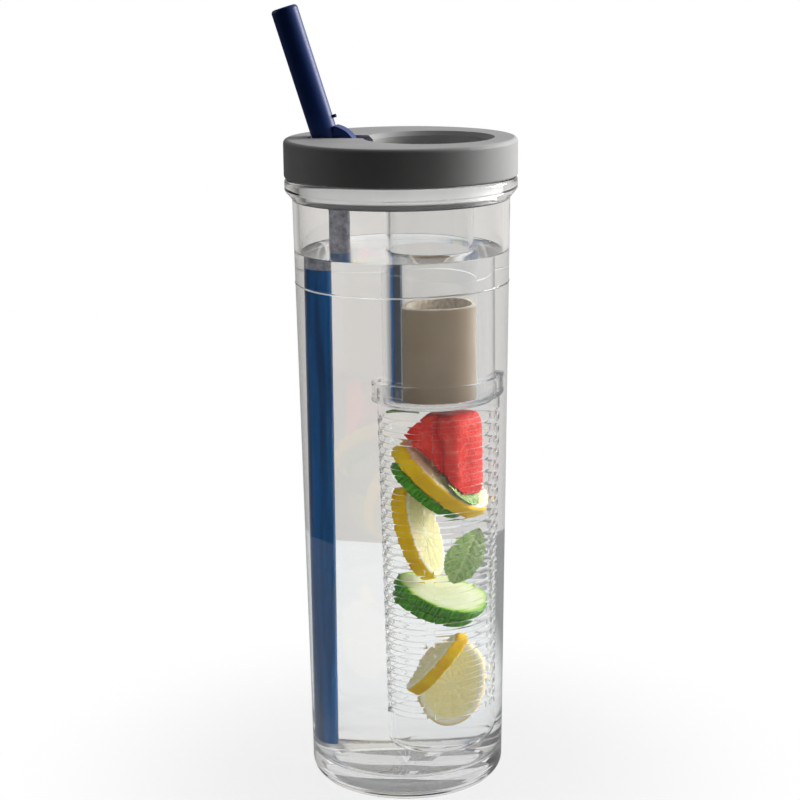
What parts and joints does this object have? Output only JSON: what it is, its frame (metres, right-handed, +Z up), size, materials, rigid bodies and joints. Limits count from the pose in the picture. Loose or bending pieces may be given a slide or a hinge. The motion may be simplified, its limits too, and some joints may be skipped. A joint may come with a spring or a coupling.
{
  "type": "fruit infuser water bottle",
  "caption": "Clear tapered drinking bottle with a grey push-in lid, a blue flip spout and straw, and a slotted fruit infuser hung under a round well in the lid.",
  "frame": {"origin": "centre of the flat face that the bottle stands on", "axes": "+Z up along the bottle, -X towards the spout, -Y towards the front; the picture is taken 10 degrees to the right of it"},
  "size_m": [0.0859, 0.082, 0.2807],
  "materials": {
    "clear_bottle": "clear moulded",
    "clear_infuser": "clear moulded",
    "grey_lid": "soft-touch matte",
    "grey_core": "satin moulded",
    "blue_spout": "matte moulded",
    "blue_straw": "glossy extruded",
    "taupe_insert": "satin moulded",
    "silicone": "satin silicone",
    "lemon": "wet fruit",
    "cucumber": "wet fruit",
    "watermelon": "wet fruit",
    "mint": "wet leaf"
  },
  "bodies": {
    "bottle": {"bottle_body": "clear_bottle"},
    "lid": {"lid_shell": "grey_lid", "lid_core": "grey_core", "lid_gasket": "silicone", "vent_valve": "silicone", "pivot_washers": "silicone", "straw_tube": "blue_straw", "stem_cup": "clear_infuser", "stem_seal": "silicone"},
    "spout": {"flip_spout": "blue_spout"},
    "insert": {"insert_cup": "taupe_insert"},
    "basket": {"basket_collar": "clear_infuser", "infuser_basket": "clear_infuser", "lemon_upper": "lemon", "cucumber_upper": "cucumber", "lemon_steep": "lemon", "cucumber_middle": "cucumber", "cucumber_under": "cucumber", "lemon_lower": "lemon", "lemon_floor": "lemon", "watermelon_chunk": "watermelon", "mint_top": "mint", "mint_pressed": "mint", "mint_standing": "mint"}
  },
  "joints": [
    {"name": "lid_lift", "type": "slide", "parent": "bottle", "child": "lid", "axis": [0, 0, 1], "range_m": [0, 0.215]},
    {"name": "spout_flip", "type": "hinge", "parent": "lid", "child": "spout", "pos_m": [-0.0249, 0, 0.229], "axis": [0, -1, 0], "range_deg": [-107.3, 0]},
    {"name": "insert_lift", "type": "slide", "parent": "lid", "child": "insert", "axis": [0, 0, 1], "range_m": [0, 0.095]},
    {"name": "basket_turn", "type": "hinge", "parent": "lid", "child": "basket", "pos_m": [0.01005, 0, 0.14], "axis": [0, 0, 1], "range_deg": [0, 90]}
  ]
}
